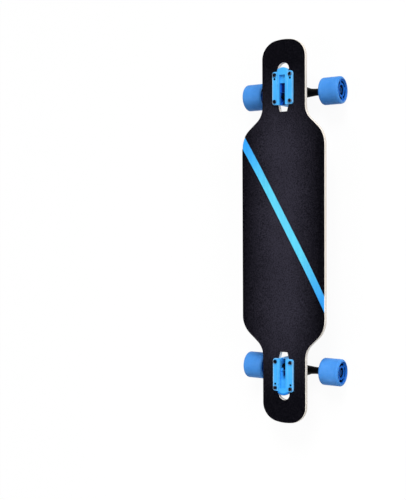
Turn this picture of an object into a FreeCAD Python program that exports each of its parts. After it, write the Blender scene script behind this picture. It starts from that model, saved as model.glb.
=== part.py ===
import FreeCAD, Part
import math
import os
import Sketcher

# A drop-through longboard on two reverse-kingpin trucks.
# Frame: +X to the nose, +Y to the rider's left, +Z up, origin on the ground under the deck's middle.

# Driving dimensions, in millimetres and degrees.
SIZES = {
    # deck
    "deck_length": 922, "deck_width": 222, "deck_thickness": 11, "neck_width": 116,
    "end_radius": 120, "end_corner_radius": 44, "shoulder_inset": 255,
    "shoulder_angle": 47, "shoulder_outer_radius": 60, "shoulder_inner_radius": 45,
    "flat_width": 80, "concave_radius": 370, "deck_edge_radius": 2.5,
    # grip tape and the bare stripe across it
    "grip_thickness": 0.8, "grip_bond": 0.05, "grip_inset": 1, "stripe_angle": 29.25,
    "stripe_width": 19.5, "stripe_offset": 13.5,
    # truck layout: the axle, the steering axis above it and the bushing ring on that axis
    "truck_inset": 117, "axle_setback": 8, "truck_height": 62, "pivot_angle": 50,
    "pivot_rake": 12, "ring_reach": 29,
    # slot through the deck, measured from the middle of the bolt pattern
    "slot_width": 30, "slot_outboard": 61, "slot_inboard": 55.5, "slot_end_width": 19,
    "slot_taper": 20,
    # mounting bolts and nuts
    "bolt_pitch_long": 63.5, "bolt_pitch_cross": 41.3, "spare_hole_pitch": 53.98,
    "bolt_diameter": 4.8, "bolt_hole_diameter": 5.4, "bolt_head_diameter": 9.4,
    "bolt_head_height": 2.6, "bolt_socket_diameter": 4.2, "bolt_socket_depth": 1.8,
    "bolt_tail": 2, "mounting_nut_width": 8, "mounting_nut_height": 5.5,
    # baseplate
    "flange_length": 79, "flange_width": 54, "flange_thickness": 6, "flange_corner_radius": 6,
    "flange_edge_radius": 1.2, "lobe_width": 28, "lobe_reach": 49, "lobe_thickness": 10,
    "lobe_end_radius": 22, "lobe_edge_radius": 3, "lobe_start": 4, "ridge_height": 1.2, "spine_width": 28,
    "spine_foot_width": 22, "spine_gap": 13, "boss_thickness": 8, "boss_length": 30,
    "boss_step": 5, "channel_width": 16, "channel_clearance": 1, "pocket_depth": 4.5,
    "pocket_outboard": 31, "well_depth": 8.2, "well_inboard": 10, "well_outboard": 12,
    "housing_wall": 3.2, "housing_draft": 2.4,
    # pivot
    "nose_diameter": 12, "nose_length": 8, "nose_tip_radius": 2.5, "nose_clearance": 0.3,
    "cup_wall": 1.5, "cup_lip": 0.8, "rim_gap": 1.5,
    # hanger
    "hanger_width": 180, "beam_diameter": 24, "beam_end_diameter": 17, "beam_middle_width": 44,
    "beam_neck_width": 116, "wing_width": 104, "wing_top_width": 60, "wing_height": 13,
    "wing_inside": 4, "wing_outside": 10, "ring_diameter": 33, "ring_thickness": 9,
    "ring_hole_diameter": 16, "yoke_width": 26, "yoke_thickness": 11, "ring_edge_radius": 1.5,
    "bushing_seat_depth": 1.5, "bushing_seat_clearance": 0.5,
    # kingpin and bushings
    "kingpin_diameter": 9.4, "kingpin_hole_clearance": 0.05, "kingpin_tail": 3, "hex_width": 14,
    "kingpin_head_height": 6, "kingpin_nut_height": 8, "bushing_diameter": 23, "bushing_height": 13.5,
    "bushing_bore": 10.4, "bushing_tip_diameter": 19, "bushing_chamfer": 1.2,
    "washer_diameter": 25.4, "washer_thickness": 1.5, "washer_lip": 1, "washer_lip_width": 0.7,
    # axle
    "axle_diameter": 8, "axle_fit_clearance": 0.02, "axle_tail": 1.5, "axle_chamfer": 0.8,
    "axle_nut_width": 12.7, "axle_nut_height": 6.5, "speed_ring_thickness": 1.2,
    "speed_ring_diameter": 11.4,
    # wheel
    "wheel_diameter": 65, "wheel_width": 51, "wheel_lip_radius": 5.5, "lip_diameter": 53,
    "core_diameter": 50, "recess_depth": 3.2, "core_web_width": 9, "hub_diameter": 34,
    "hub_mouth_diameter": 25, "core_rim_wall": 2.2, "spoke_width": 6.5, "slot_corner_radius": 1.8,
    "core_shoulder_diameter": 19, "front_core_turn": 30,
    # ball bearings
    "bearing_diameter": 22, "bearing_width": 7, "bearing_gap": 10, "ball_diameter": 3.96,
    "ball_circle": 15, "ball_clearance": 0.06, "inner_land": 11.6, "outer_land": 18.6,
    "shield_thickness": 0.4, "shield_inset": 0.3, "shield_clearance": 0.25, "cage_wall": 1.5,
    "cage_width": 1.9, "cage_offset": 0.5, "spacer_diameter": 10.2,
    # length by which a cutting tool passes the faces it cuts
    "overrun": 20,
}
BALL_COUNT = 7
SPOKE_COUNT = 4


class Measure:
    """A size held both as a number and as the sheet expression that gives it."""

    def __init__(self, value, text):
        self.value = value
        self.text = text

    def join(self, other, sign, value):
        return Measure(value, "(%s %s %s)" % (self.text, sign, as_measure(other).text))

    def __add__(self, other):
        return self.join(other, "+", self.value + as_measure(other).value)

    def __sub__(self, other):
        return self.join(other, "-", self.value - as_measure(other).value)

    def __mul__(self, other):
        return self.join(other, "*", self.value * as_measure(other).value)

    def __truediv__(self, other):
        return self.join(other, "/", self.value / as_measure(other).value)

    def __neg__(self):
        return Measure(-self.value, "(0 - %s)" % self.text)


def as_measure(number):
    return number if isinstance(number, Measure) else Measure(float(number), repr(float(number)))


def sine(angle):
    return Measure(math.sin(math.radians(angle.value)), "sin(%s * 1deg)" % angle.text)


def cosine(angle):
    return Measure(math.cos(math.radians(angle.value)), "cos(%s * 1deg)" % angle.text)


def tangent(angle):
    return Measure(math.tan(math.radians(angle.value)), "tan(%s * 1deg)" % angle.text)


def root(square):
    return Measure(math.sqrt(square.value), "sqrt(%s)" % square.text)


class Sizes:
    """The sheet's sizes by name."""


doc = FreeCAD.newDocument("longboard")
sheet = doc.addObject("Spreadsheet::Sheet", "dim")
s = Sizes()
for row, (alias, number) in enumerate(SIZES.items(), start=1):
    sheet.set("A%d" % row, alias)
    sheet.set("B%d" % row, str(number))
    sheet.setAlias("B%d" % row, alias)
    setattr(s, alias, Measure(float(number), "dim." + alias))
doc.recompute()

ZERO = as_measure(0)
HALF_TURN = as_measure(180)
RIGHT_ANGLE = as_measure(90)
nodes = {}


# Helpers that make and bind document objects

def bind(thing, **sizes):
    for name, size in sizes.items():
        thing.setExpression(name, as_measure(size).text)


def place(thing, x=0, y=0, z=0, yaw=0, pitch=0, roll=0):
    parts = tuple(as_measure(part).text for part in (x, y, z, yaw, pitch, roll))
    thing.setExpression("Placement", "placement(vector(%s;%s;%s); rotation(%s;%s;%s))" % parts)
    return thing


def node(thing, label):
    thing.Label = label
    nodes[label] = thing
    return thing


def box(name, low, high):
    thing = doc.addObject("Part::Box", name)
    bind(thing, Length=high[0] - low[0], Width=high[1] - low[1], Height=high[2] - low[2])
    return place(thing, *low)


def cylinder(name, diameter, start, length, axis="Z", centre=(0, 0, 0)):
    """A rod along an axis of its frame, from start on over length."""
    thing = doc.addObject("Part::Cylinder", name)
    bind(thing, Radius=as_measure(diameter) / 2, Height=length)
    return along(thing, axis, start, centre)


def prism(name, width, start, length, axis, centre=(0, 0, 0)):
    """A hexagon bar of the given width across its flats."""
    thing = doc.addObject("Part::Prism", name)
    thing.Polygon = 6
    bind(thing, Circumradius=width / 2 / cosine(as_measure(30)), Height=length)
    return along(thing, axis, start, centre)


def along(thing, axis, start, centre):
    x, y, z = (as_measure(part) for part in centre)
    if axis == "X":
        return place(thing, x + start, y, z, pitch=RIGHT_ANGLE)
    if axis == "Y":
        return place(thing, x, y + start, z, roll=-RIGHT_ANGLE)
    return place(thing, x, y, z + start)


def cut(name, base, tool):
    thing = doc.addObject("Part::Cut", name)
    thing.Base = base
    thing.Tool = tool
    return thing


def common(name, base, tool):
    thing = doc.addObject("Part::Common", name)
    thing.Base = base
    thing.Tool = tool
    return thing


def fuse(name, pieces):
    thing = doc.addObject("Part::MultiFuse", name)
    thing.Shapes = pieces
    return thing


def group(name, pieces):
    thing = doc.addObject("Part::Compound", name)
    thing.Links = pieces
    return thing


def rounded(name, base, radius, wanted):
    """Round the edges of a piece that a test picks out."""
    doc.recompute()
    thing = doc.addObject("Part::Fillet", name)
    thing.Base = base
    thing.Edges = [(index, radius.value, radius.value)
                   for index, edge in enumerate(base.Shape.Edges, start=1) if wanted(edge)]
    return thing


def body_sketch(body, plane_role, name):
    sketch = body.newObject("Sketcher::SketchObject", name)
    plane = [item for item in body.Origin.OriginFeatures if item.Role == plane_role][0]
    sketch.AttachmentSupport = [(plane, "")]
    sketch.MapMode = "FlatFace"
    return sketch


def draw_loop(sketch, corners):
    """Draw a closed loop. A corner is (x, y), or (x, y, radius, turn) where an arc leads to it."""
    corners = [tuple(as_measure(part) for part in corner) for corner in corners]
    segments = []
    for corner, before in zip(corners, corners[-1:] + corners[:-1]):
        start = FreeCAD.Vector(before[0].value, before[1].value)
        end = FreeCAD.Vector(corner[0].value, corner[1].value)
        if len(corner) == 2:
            index = sketch.addGeometry(Part.LineSegment(start, end), False)
        else:
            index = sketch.addGeometry(arc(start, end, corner[2].value, corner[3].value), False)
        first = sketch.getPoint(index, 1)
        forward = first.distanceToPoint(start) < first.distanceToPoint(end)
        segments.append((index, 1 if forward else 2, 2 if forward else 1))
    for (index, first, last), following, corner in zip(segments, segments[1:] + segments[:1], corners):
        sketch.addConstraint(Sketcher.Constraint("Coincident", index, last, following[0], following[1]))
        for kind, size in (("DistanceX", corner[0]), ("DistanceY", corner[1])):
            constrain(sketch, Sketcher.Constraint(kind, -1, 1, index, last, size.value), size)
        if len(corner) > 2:
            constrain(sketch, Sketcher.Constraint("Radius", index, corner[2].value), corner[2])


def draw_circle(sketch, x, y, diameter):
    x, y, diameter = as_measure(x), as_measure(y), as_measure(diameter)
    middle = FreeCAD.Vector(x.value, y.value)
    index = sketch.addGeometry(Part.Circle(middle, FreeCAD.Vector(0, 0, 1), diameter.value / 2), False)
    constrain(sketch, Sketcher.Constraint("DistanceX", -1, 1, index, 3, x.value), x)
    constrain(sketch, Sketcher.Constraint("DistanceY", -1, 1, index, 3, y.value), y)
    constrain(sketch, Sketcher.Constraint("Diameter", index, diameter.value), diameter)


def constrain(sketch, constraint, size):
    index = sketch.addConstraint(constraint)
    sketch.setExpression("Constraints[%d]" % index, size.text)


def arc(start, end, radius, turn):
    """The shorter arc between two points, to the left (turn 1) or right (turn -1)."""
    chord = end - start
    half = chord.Length / 2
    rise = radius - math.sqrt(max(radius ** 2 - half ** 2, 0))
    side = FreeCAD.Vector(chord.y, -chord.x) * (turn * rise / chord.Length)
    return Part.Arc(start, (start + end) * 0.5 + side, end)


def pad(name, plane_role, loops, length, circles=(), middle=False, reverse=False):
    """A straight prism of one outline with holes in it."""
    body = doc.addObject("PartDesign::Body", name)
    sketch = body_sketch(body, plane_role, name + "_sketch")
    for loop in loops:
        draw_loop(sketch, loop)
    for circle in circles:
        draw_circle(sketch, *circle)
    feature = body.newObject("PartDesign::Pad", name + "_pad")
    feature.Profile = sketch
    feature.Midplane = middle
    feature.Reversed = reverse
    bind(feature, Length=length)
    return body


def turned(name, plane_role, axis_role, loop):
    """A turned piece: a profile revolved about an axis of its own frame."""
    body = doc.addObject("PartDesign::Body", name)
    sketch = body_sketch(body, plane_role, name + "_sketch")
    draw_loop(sketch, loop)
    feature = body.newObject("PartDesign::Revolution", name + "_turn")
    feature.Profile = sketch
    feature.ReferenceAxis = ([item for item in body.Origin.OriginFeatures if item.Role == axis_role][0], [""])
    feature.Angle = 360
    return body


# Heights and places that several pieces share

AXLE_Z = s.wheel_diameter / 2
FLANGE_TOP = AXLE_Z + s.truck_height
GRIP_TOP = FLANGE_TOP - s.flange_thickness
GRIP_UNDER = GRIP_TOP - s.grip_thickness
DECK_TOP = GRIP_UNDER - s.grip_bond
DECK_UNDER = DECK_TOP - s.deck_thickness
TRUCK_X = s.deck_length / 2 - s.truck_inset
AXLE_X = TRUCK_X - s.axle_setback
BOLT_X = s.bolt_pitch_long / 2
BOLT_Y = s.bolt_pitch_cross / 2


# Deck and grip tape

def deck_outline(inset):
    """The plan of the deck, drawn counter-clockwise and set in by an inset."""
    half_width = s.deck_width / 2 - inset
    half_neck = s.neck_width / 2 - inset
    half_length = s.deck_length / 2 - inset
    outer = s.shoulder_outer_radius - inset
    inner = s.shoulder_inner_radius + inset
    end_radius = s.end_radius - inset
    corner = s.end_corner_radius - inset
    fall = as_measure(1) - cosine(s.shoulder_angle)
    side_end = s.deck_length / 2 - s.shoulder_inset
    outer_x = side_end + outer * sine(s.shoulder_angle)
    outer_y = half_width - outer * fall
    inner_y = half_neck + inner * fall
    inner_x = outer_x + (outer_y - inner_y) / tangent(s.shoulder_angle)
    neck_x = inner_x + inner * sine(s.shoulder_angle)
    end_centre = half_length - end_radius
    reach = end_radius - corner
    corner_y = half_neck - corner
    corner_x = end_centre + root(reach * reach - corner_y * corner_y)
    tip_x = end_centre + (corner_x - end_centre) * end_radius / reach
    tip_y = corner_y * end_radius / reach
    right_front = [
        (side_end, -half_width), (outer_x, -outer_y, outer, 1), (inner_x, -inner_y),
        (neck_x, -half_neck, inner, -1), (corner_x, -half_neck), (tip_x, -tip_y, corner, 1),
        (tip_x, tip_y, end_radius, 1),
    ]
    left_front = [
        (corner_x, half_neck, corner, 1), (neck_x, half_neck), (inner_x, inner_y, inner, -1),
        (outer_x, outer_y), (side_end, half_width, outer, 1),
    ]
    front = right_front + left_front
    rear = [(-as_measure(corner[0]), -as_measure(corner[1])) + tuple(corner[2:]) for corner in front]
    return front + rear


def truck_slot(end):
    """The slot that a truck drops through: round outboard, tapered inboard."""
    wide, narrow = s.slot_width / 2, s.slot_end_width / 2
    out, into = s.slot_outboard - wide, s.slot_inboard
    loop = [
        (-into, -narrow), (s.slot_taper - into, -wide), (out, -wide), (out + wide, ZERO, wide, 1),
        (out, wide, wide, 1), (s.slot_taper - into, wide), (-into, narrow),
    ]
    shifted = [(x + TRUCK_X,) + tuple(rest) for x, *rest in loop]
    return [((x if end > 0 else -x), (y if end > 0 else -y)) + tuple(rest) for x, y, *rest in shifted]


def bolt_places():
    return [(TRUCK_X * end + BOLT_X * side, BOLT_Y * hand)
            for end in (1, -1) for side in (1, -1) for hand in (1, -1)]


def plan(name, inset):
    holes = [(x, y, s.bolt_hole_diameter) for x, y in bolt_places()]
    loops = [deck_outline(inset), truck_slot(1), truck_slot(-1)]
    return pad(name, "XY_Plane", loops, FLANGE_TOP + s.overrun, circles=holes)


def tub_section(name, under, top):
    """A flat-bottomed trough along X, with rails that curve up, between two heights at its middle."""
    flat = s.flat_width / 2
    centre = DECK_TOP + s.concave_radius
    out = s.deck_width / 2 + s.overrun / 2
    high_radius, low_radius = centre - top, centre - under
    high = centre - root(high_radius * high_radius - (out - flat) * (out - flat))
    low = centre - root(low_radius * low_radius - (out - flat) * (out - flat))
    loop = [
        (-flat, under, low_radius, 1), (flat, under), (out, low, low_radius, 1), (out, high),
        (flat, top, high_radius, -1), (-flat, top), (-out, high, high_radius, -1), (-out, low),
    ]
    return pad(name, "YZ_Plane", [loop], s.deck_length + s.overrun, middle=True)


def make_deck():
    blank = common("deck_blank", plan("deck_plan", ZERO), tub_section("deck_section", DECK_UNDER, DECK_TOP))
    node(rounded("deck_rounded", blank, s.deck_edge_radius, on_rail), "deck")


def on_rail(edge):
    """Whether an edge runs round the outside of the board, above or below."""
    box = edge.BoundBox
    upright = box.XLength < box.ZLength and box.YLength < box.ZLength
    middle = edge.valueAt((edge.FirstParameter + edge.LastParameter) / 2)
    slot_x = abs(middle.x) - TRUCK_X.value
    in_slot = abs(slot_x) < s.slot_outboard.value * 1.01 and abs(middle.y) < s.flange_width.value / 2
    flat_seam = box.YLength < 1e-6 and abs(abs(middle.y) - s.flat_width.value / 2) < 1e-6
    return not (upright or in_slot or flat_seam)


def make_grip_tape():
    section = tub_section("grip_section", GRIP_UNDER, GRIP_TOP)
    blank = common("grip_blank", plan("grip_plan", s.grip_inset), section)
    reach = s.deck_length
    for label, side in (("grip_tape_front", 1), ("grip_tape_rear", -1)):
        edge = s.stripe_width / 2
        low_y = -edge if side > 0 else -reach
        high_y = reach if side > 0 else edge
        away = doc.addObject("Part::Box", label + "_away")
        bind(away, Length=reach * 2, Width=high_y - low_y, Height=FLANGE_TOP + s.overrun)
        shift = low_y - s.stripe_offset
        place(away, -(reach * cosine(s.stripe_angle)) - shift * sine(s.stripe_angle),
              shift * cosine(s.stripe_angle) - reach * sine(s.stripe_angle), ZERO, yaw=s.stripe_angle)
        node(cut(label + "_cut", blank, away), label)


# Truck. Its own frame has the axle's middle as origin and +X outboard.
# The steering frame is tipped: its +Z climbs outboard along the steering axis, and its +X runs along
# the kingpin, outboard and down. Its origin lies on the axis, square to the axle.

TIP = RIGHT_ANGLE - s.pivot_angle
RING_HALF = s.ring_thickness / 2
BUSHING_START = RING_HALF - s.bushing_seat_depth
BUSHING_END = BUSHING_START + s.bushing_height
SEAT = BUSHING_END + s.washer_thickness
HEAD_SEAT = SEAT + s.boss_thickness
NOSE_RADIUS = s.nose_diameter / 2
CUP_RADIUS = NOSE_RADIUS + s.nose_clearance + s.cup_wall
RIM = s.beam_diameter / 2 + s.rim_gap
NOSE_TIP = RIM + s.nose_length
CUP_END = NOSE_TIP + s.nose_clearance + s.cup_wall
HOUSING_RADIUS = CUP_RADIUS + s.housing_wall
HOUSING_END = CUP_END + s.housing_wall


def in_truck(thing, end, x=0, y=0, z=0):
    """Stand a piece in the truck's own frame."""
    return place(thing, (AXLE_X + x) * end, as_measure(y) * end, AXLE_Z + z,
                 yaw=ZERO if end > 0 else HALF_TURN)


def in_steering(thing, end, x=0, z=0):
    """Stand a piece in the steering frame."""
    level, height = steering_point(x, z)
    return place(thing, (AXLE_X + level) * end, ZERO, AXLE_Z + height,
                 yaw=ZERO if end > 0 else HALF_TURN, pitch=TIP)


def steering_point(x, z):
    """A point of the steering frame, given in the truck's own frame."""
    out = as_measure(x) - s.pivot_rake
    up = as_measure(z)
    return out * cosine(TIP) + up * sine(TIP), up * cosine(TIP) - out * sine(TIP)


def tipped(thing):
    """Tip a piece into the steering frame, inside the truck's own frame."""
    level, height = steering_point(ZERO, ZERO)
    return place(thing, level, ZERO, height, pitch=TIP)


def make_baseplate(name, end):
    middle = s.axle_setback
    half_length, half_width = s.flange_length / 2, s.flange_width / 2
    corner = s.flange_corner_radius
    left, right = middle - half_length, middle + half_length
    outline = [
        (left + corner, -half_width, corner, 1), (right - corner, -half_width),
        (right, corner - half_width, corner, 1), (right, half_width - corner),
        (right - corner, half_width, corner, 1), (left + corner, half_width),
        (left, half_width - corner, corner, 1), (left, corner - half_width),
    ]
    spare = middle + BOLT_X - (s.bolt_pitch_long - s.spare_hole_pitch)
    columns = (middle + BOLT_X, spare, middle - BOLT_X)
    holes = [(x, BOLT_Y * hand, s.bolt_hole_diameter) for x in columns for hand in (1, -1)]
    flange_pad = pad(name + "_flange_pad", "XY_Plane", [outline], s.flange_thickness, circles=holes)
    place(flange_pad, ZERO, ZERO, s.truck_height - s.flange_thickness)
    flange = rounded(name + "_flange", flange_pad, s.flange_edge_radius, on_flange_top)

    # the middle strip, which stands a little proud and runs out past the flange as a deeper lobe
    half_lobe = s.lobe_width / 2
    lobe_bow = s.lobe_end_radius - root(s.lobe_end_radius * s.lobe_end_radius - half_lobe * half_lobe)
    lobe_side = middle + s.lobe_reach - lobe_bow
    ridge_top = s.truck_height + s.ridge_height
    lobe_loop = [(s.lobe_start, -half_lobe), (lobe_side, -half_lobe),
                 (lobe_side, half_lobe, s.lobe_end_radius, 1), (s.lobe_start, half_lobe)]
    lobe_pad = pad(name + "_lobe_pad", "XY_Plane", [lobe_loop], s.lobe_thickness + s.ridge_height)
    place(lobe_pad, ZERO, ZERO, s.truck_height - s.lobe_thickness)
    lobe = rounded(name + "_lobe", lobe_pad, s.lobe_edge_radius, on_lobe_edge)
    strip = box(name + "_strip", (left, -half_lobe, s.truck_height - s.flange_thickness),
                (middle, half_lobe, ridge_top))

    # the cast wedge that carries the kingpin and the pivot, drafted, and cut square inboard
    far = s.flange_length + s.overrun
    boss_low = s.ring_reach - s.boss_length / 2
    wedge_loop = [(-SEAT, far), (-far, far), (-far, -CUP_END), (ZERO, -CUP_END), (ZERO, -RIM),
                  (-HOUSING_RADIUS, -RIM), (-s.spine_gap, boss_low - s.boss_step), (-SEAT, boss_low)]
    wedge = tipped(pad(name + "_wedge", "XZ_Plane", [wedge_loop], s.flange_width, middle=True))
    half_foot, half_spine = s.spine_foot_width / 2, s.spine_width / 2
    foot = steering_point(ZERO, -HOUSING_END)[1]
    draft_loop = [(-half_foot, foot), (half_foot, foot), (half_spine, s.truck_height),
                  (-half_spine, s.truck_height)]
    draft = place(pad(name + "_draft", "YZ_Plane", [draft_loop], right - left), left)
    spine = common(name + "_spine", wedge, draft)

    housing_loop = [(ZERO, -HOUSING_END), (HOUSING_RADIUS - s.housing_draft, -HOUSING_END),
                    (HOUSING_RADIUS, -RIM), (ZERO, -RIM)]
    housing = tipped(turned(name + "_housing", "XZ_Plane", "Z_Axis", housing_loop))
    casting = fuse(name + "_casting", [flange, lobe, strip, spine, housing])

    head_reach = s.hex_width / 2 / cosine(as_measure(30)) + s.channel_clearance
    half_channel = s.channel_width / 2
    channel = tipped_box(name + "_channel", (-far, -half_channel, s.ring_reach - head_reach),
                         (-HEAD_SEAT, half_channel, far))
    above = s.truck_height + s.overrun
    pocket = box(name + "_pocket", (middle, -half_channel, s.truck_height - s.pocket_depth),
                 (middle + s.pocket_outboard, half_channel, above))
    well = box(name + "_well", (middle - s.well_inboard, -half_channel, s.truck_height - s.well_depth),
               (middle + s.well_outboard, half_channel, above))
    kingpin_hole = cylinder(name + "_kingpin_hole", s.kingpin_diameter + s.kingpin_hole_clearance * 2,
                            -far, far, "X", (ZERO, ZERO, s.ring_reach))
    cup_hole = cylinder(name + "_cup_hole", CUP_RADIUS * 2, -CUP_END, CUP_END - RIM + s.overrun)
    bores = tipped(fuse(name + "_bores", [kingpin_hole, cup_hole]))
    cuts = fuse(name + "_cuts", [channel, pocket, well, bores])
    node(in_truck(cut(name + "_cut", casting, cuts), end), name + "_baseplate")


def on_flange_top(edge):
    """Whether an edge runs round the top of the flange."""
    box = edge.BoundBox
    top = s.truck_height.value
    return abs(box.ZMin - top) < 1e-6 and abs(box.ZMax - top) < 1e-6 and not edge.isClosed()


def on_lobe_edge(edge):
    """Whether an edge runs round the top of the lobe, along its sides or its end."""
    box = edge.BoundBox
    top = (s.truck_height + s.ridge_height).value
    return abs(box.ZMin - top) < 1e-6 and abs(box.ZMax - top) < 1e-6 and box.XLength > 1e-6


def on_ring(edge):
    """Whether an edge is a full circle."""
    return edge.isClosed() and edge.BoundBox.YLength > s.ring_thickness.value


def tipped_box(name, low, high):
    thing = doc.addObject("Part::Box", name)
    bind(thing, Length=high[0] - low[0], Width=high[1] - low[1], Height=high[2] - low[2])
    level, height = steering_point(low[0], low[2])
    return place(thing, level, low[1], height, pitch=TIP)


def make_pivot_cup(name, end):
    inner = NOSE_RADIUS + s.nose_clearance
    floor = CUP_END - s.cup_wall
    loop = [(ZERO, -CUP_END), (CUP_RADIUS, -CUP_END), (CUP_RADIUS, s.cup_lip - RIM), (inner, s.cup_lip - RIM),
            (inner, -floor), (ZERO, -floor)]
    node(in_steering(turned(name + "_cup", "XZ_Plane", "Z_Axis", loop), end), name + "_pivot_cup")


def make_hanger(name, end):
    ring_blank = cylinder(name + "_ring_blank", s.ring_diameter, -RING_HALF, s.ring_thickness, "X",
                          (ZERO, ZERO, s.ring_reach))
    ring = rounded(name + "_ring", ring_blank, s.ring_edge_radius, on_ring)
    beam_radius = s.beam_diameter / 2
    half_yoke = s.yoke_thickness / 2
    nose_root = RIM - s.rim_gap * 2
    yoke_loop = [(-RING_HALF, s.ring_reach), (-half_yoke, beam_radius), (-half_yoke, -nose_root),
                 (half_yoke, -nose_root), (s.pivot_rake, -s.pivot_rake / 2),
                 (s.pivot_rake + half_yoke, beam_radius / 2),
                 (RING_HALF, s.ring_reach - s.ring_diameter / 2 + RING_HALF), (RING_HALF, s.ring_reach)]
    yoke = pad(name + "_yoke", "XZ_Plane", [yoke_loop], s.yoke_width, middle=True)
    tip = s.nose_tip_radius
    nose_loop = [(ZERO, -NOSE_TIP), (NOSE_RADIUS - tip, -NOSE_TIP), (NOSE_RADIUS, tip - NOSE_TIP, tip, 1),
                 (NOSE_RADIUS, ZERO), (ZERO, ZERO)]
    nose = turned(name + "_nose", "XZ_Plane", "Z_Axis", nose_loop)
    half, neck = s.hanger_width / 2, s.beam_neck_width / 2
    end_radius, wide = s.beam_end_diameter / 2, s.beam_middle_width / 2
    beam_loop = [(ZERO, -half), (end_radius, -half), (end_radius, -neck), (beam_radius, -wide),
                 (beam_radius, wide), (end_radius, neck), (end_radius, half), (ZERO, half)]
    beam = turned(name + "_beam", "XY_Plane", "Y_Axis", beam_loop)
    place(beam, s.pivot_rake, ZERO, ZERO)
    # the wings that brace the arms on their outboard side
    low, top = s.wing_width / 2, s.wing_top_width / 2
    wing_loop = [(-low, ZERO), (low, ZERO), (top, s.wing_height), (-top, s.wing_height)]
    wings = pad(name + "_wings", "YZ_Plane", [wing_loop], s.wing_inside + s.wing_outside)
    place(wings, s.pivot_rake - s.wing_inside, ZERO, ZERO)
    casting = fuse(name + "_casting", [ring, yoke, nose, beam, wings])

    bore = s.axle_diameter + s.axle_fit_clearance * 2
    axle_bore = cylinder(name + "_axle_bore", bore, -s.hanger_width, s.hanger_width * 2, "Y",
                         (s.pivot_rake, ZERO, ZERO))
    ring_hole = cylinder(name + "_ring_hole", s.ring_hole_diameter, -s.overrun, s.overrun * 2, "X",
                         (ZERO, ZERO, s.ring_reach))
    seat = s.bushing_diameter + s.bushing_seat_clearance * 2
    seats = [cylinder(name + "_seat", seat, start, s.overrun, "X", (ZERO, ZERO, s.ring_reach))
             for start in (BUSHING_START, -BUSHING_START - s.overrun)]
    cuts = fuse(name + "_cuts", [axle_bore, ring_hole] + seats)
    node(in_steering(cut(name + "_cut", casting, cuts), end), name + "_hanger")


def make_kingpin(name, end):
    far = BUSHING_END + s.washer_thickness
    shank = cylinder(name + "_shank", s.kingpin_diameter, -HEAD_SEAT,
                     HEAD_SEAT + far + s.kingpin_nut_height + s.kingpin_tail, "X")
    head = prism(name + "_head", s.hex_width, -HEAD_SEAT - s.kingpin_head_height, s.kingpin_head_height, "X")
    node(in_steering(fuse(name + "_pin", [shank, head]), end, z=s.ring_reach), name + "_kingpin")

    nut = prism(name + "_nut_hex", s.hex_width, far, s.kingpin_nut_height, "X")
    hole = cylinder(name + "_nut_hole", s.kingpin_diameter, far - s.overrun, s.overrun * 2, "X")
    node(in_steering(cut(name + "_nut", nut, hole), end, z=s.ring_reach), name + "_kingpin_nut")


def make_bushings(name, end):
    bore, wide, tip = s.bushing_bore / 2, s.bushing_diameter / 2, s.bushing_tip_diameter / 2
    chamfer = s.bushing_chamfer
    barrel = [(-BUSHING_END, bore), (-BUSHING_START, bore), (-BUSHING_START, wide - chamfer),
              (-BUSHING_START - chamfer, wide), (chamfer - BUSHING_END, wide), (-BUSHING_END, wide - chamfer)]
    cone = [(BUSHING_START, bore), (BUSHING_END, bore), (BUSHING_END, tip - chamfer),
            (BUSHING_END - chamfer, tip), (BUSHING_START + chamfer, wide), (BUSHING_START, wide - chamfer)]
    for label, loop in (("_boardside_bushing", barrel), ("_roadside_bushing", cone)):
        piece = turned(name + label + "_body", "XZ_Plane", "X_Axis", loop)
        node(in_steering(piece, end, z=s.ring_reach), name + label)

    rim, hole = s.washer_diameter / 2, s.kingpin_diameter / 2 + s.kingpin_hole_clearance
    washers = []
    for side in (1, -1):
        face, back = BUSHING_END * side, (BUSHING_END + s.washer_thickness) * side
        lip = (BUSHING_END - s.washer_lip) * side
        loop = [(face, hole), (back, hole), (back, rim), (lip, rim), (lip, rim - s.washer_lip_width),
                (face, rim - s.washer_lip_width)]
        washers.append(turned(name + "_washer", "XZ_Plane", "X_Axis", loop))
    node(in_steering(group(name + "_washers", washers), end, z=s.ring_reach), name + "_bushing_washers")


def make_mounting(name, end):
    top, under = s.truck_height, DECK_UNDER - AXLE_Z
    tail = s.mounting_nut_height + s.bolt_tail
    bolts, nuts = [], []
    for side in (1, -1):
        for hand in (1, -1):
            spot = (s.axle_setback + BOLT_X * side, BOLT_Y * hand, ZERO)
            shank = cylinder(name + "_shank", s.bolt_diameter, under - tail, top - under + tail, centre=spot)
            head = cylinder(name + "_head", s.bolt_head_diameter, top, s.bolt_head_height, centre=spot)
            socket = prism(name + "_socket", s.bolt_socket_diameter,
                           top + s.bolt_head_height - s.bolt_socket_depth, s.overrun, "Z", spot)
            bolts.append(cut(name + "_bolt", fuse(name + "_bolt_blank", [shank, head]), socket))
            hexagon = prism(name + "_nut_hex", s.mounting_nut_width, under - s.mounting_nut_height,
                            s.mounting_nut_height, "Z", spot)
            hole = cylinder(name + "_nut_hole", s.bolt_diameter, under - s.overrun, s.overrun * 2, centre=spot)
            nuts.append(cut(name + "_nut", hexagon, hole))
    node(in_truck(group(name + "_bolts", bolts), end), name + "_mounting_bolts")
    node(in_truck(group(name + "_nuts", nuts), end), name + "_mounting_nuts")


# Axle and what is clamped along it, from the hanger outward

RING_START = s.hanger_width / 2
BEARING_START = RING_START + s.speed_ring_thickness
STACK = s.bearing_width * 2 + s.bearing_gap
WHEEL_Y = BEARING_START + STACK / 2
NUT_START = BEARING_START + STACK + s.speed_ring_thickness
AXLE_RADIUS = s.axle_diameter / 2


def sleeve(name, start, length, bore, diameter):
    """A plain ring on the Y axis."""
    inner, outer = bore / 2, diameter / 2
    loop = [(inner, start), (outer, start), (outer, start + length), (inner, start + length)]
    return turned(name, "XY_Plane", "Y_Axis", loop)


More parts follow.
